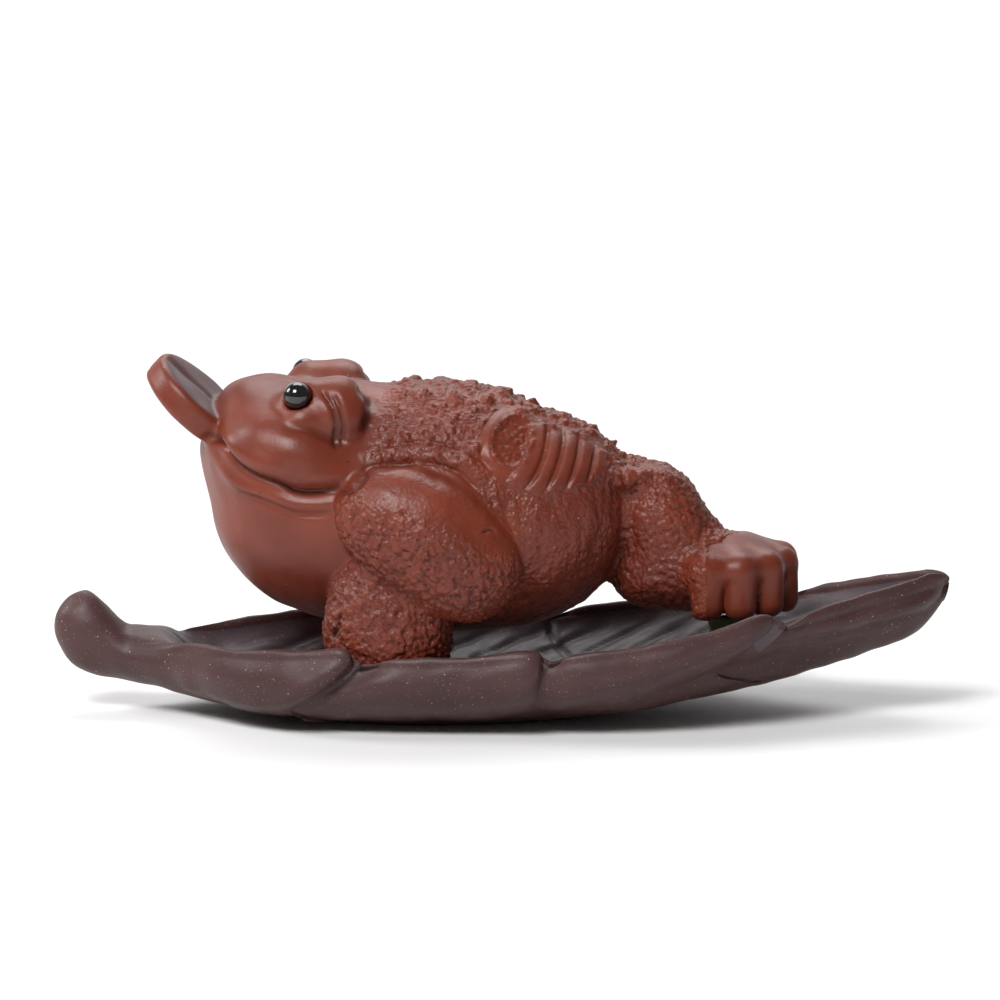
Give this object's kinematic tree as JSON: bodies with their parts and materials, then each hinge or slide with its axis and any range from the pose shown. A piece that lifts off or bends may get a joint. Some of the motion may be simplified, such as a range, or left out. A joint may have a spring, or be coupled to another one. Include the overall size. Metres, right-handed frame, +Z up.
{
  "type": "toad tea pet",
  "caption": "Small clay toad with a coin in its mouth, three legs and bead eyes, resting on a lobed leaf-shaped tray.",
  "frame": {"origin": "on the surface that the leaf stands on, below the middle of the whole object's box", "axes": "+Z up, -X towards the toad's head and the leaf's stem, -Y towards the side that the picture shows"},
  "size_m": [0.1606, 0.0644, 0.064],
  "materials": {
    "toad_clay": "unglazed red clay, satin from handling",
    "leaf_clay": "unglazed dark purple-brown clay with fine mica specks, satin",
    "eye_bead": "polished black",
    "pad_rubber": "cloudy olive-green, see-through at its edge"
  },
  "bodies": {
    "root": {"leaf_tray": "leaf_clay", "toad": "toad_clay", "eye_bead_near": "eye_bead", "eye_bead_far": "eye_bead", "foot_pad": "pad_rubber"}
  },
  "joints": []
}
